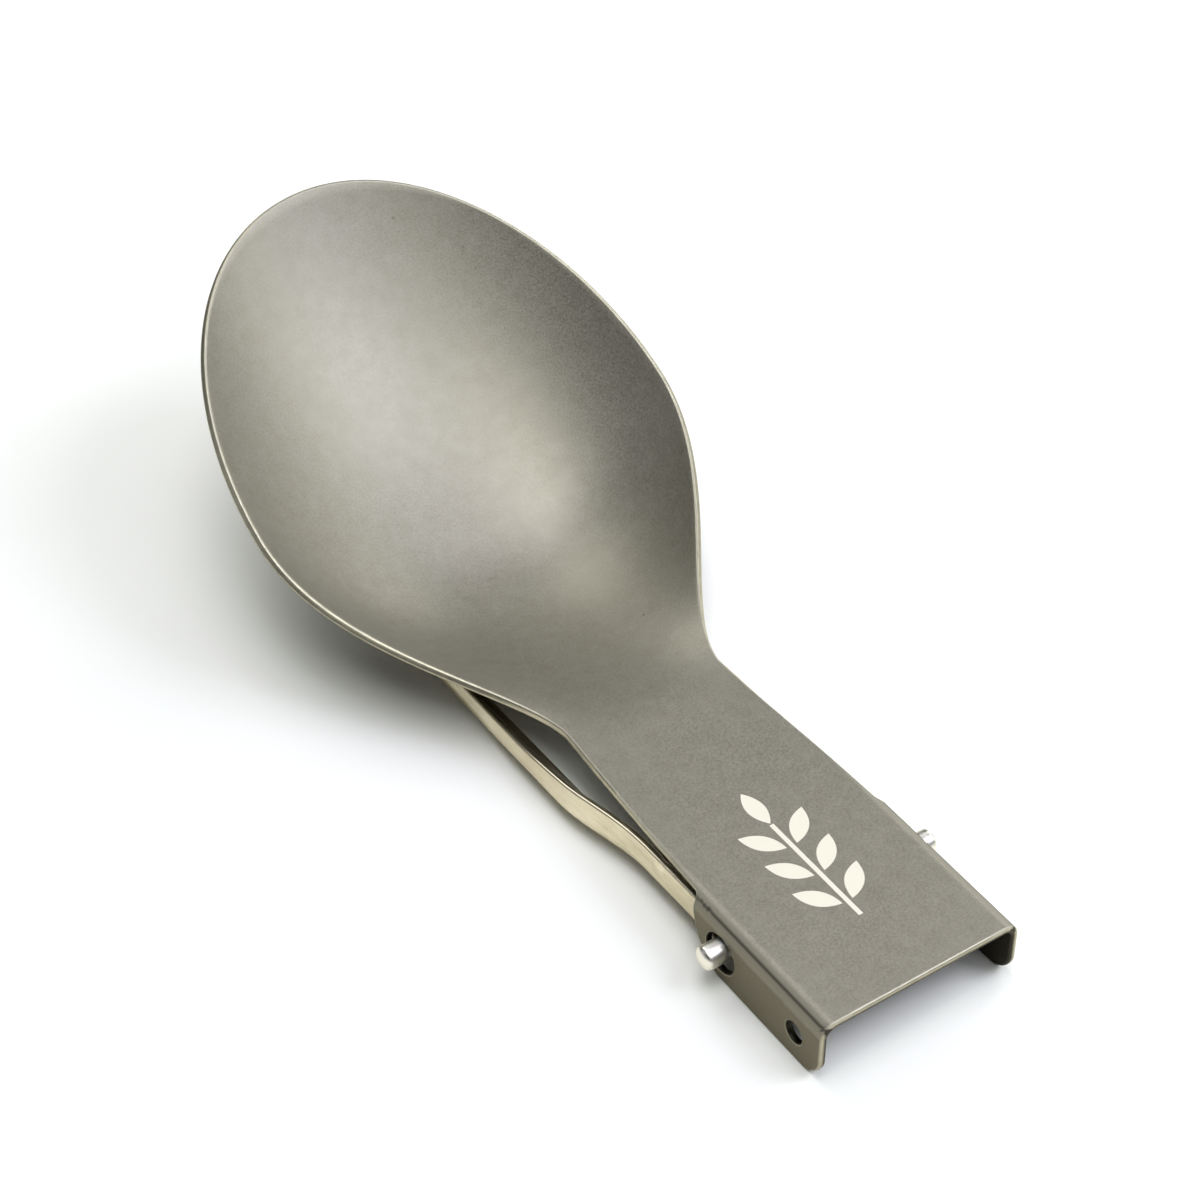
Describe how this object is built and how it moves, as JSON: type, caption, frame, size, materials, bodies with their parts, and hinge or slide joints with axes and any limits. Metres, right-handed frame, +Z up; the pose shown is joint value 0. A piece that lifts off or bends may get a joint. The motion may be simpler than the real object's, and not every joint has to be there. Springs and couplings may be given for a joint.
{
  "type": "folding spoon",
  "caption": "Pocket folding spoon: an oval bowl on a short channel shank, and a loop handle that folds under it on a cross pin.",
  "frame": {"origin": "middle of the bottom of the bounding box, folded, on the surface it stands on", "axes": "+Y along the length towards the bowl's tip, +Z up with the shank's top face level, X across along the pin"},
  "size_m": [0.0434, 0.0938, 0.0278],
  "materials": {
    "blasted_titanium": "bead-blasted matte grey titanium",
    "polished_titanium": "polished warm titanium",
    "polished_steel": "polished bright steel"
  },
  "bodies": {
    "spoon_body": {"bowl_with_shank": "blasted_titanium"},
    "handle_body": {"folding_handle": "polished_titanium", "pivot_pin": "polished_steel"}
  },
  "joints": [
    {"name": "handle_fold", "type": "hinge", "parent": "spoon_body", "child": "handle_body", "pos_m": [0, -0.03372, 0.0033], "axis": [-1, 0, 0], "range_deg": [0, 179]}
  ]
}
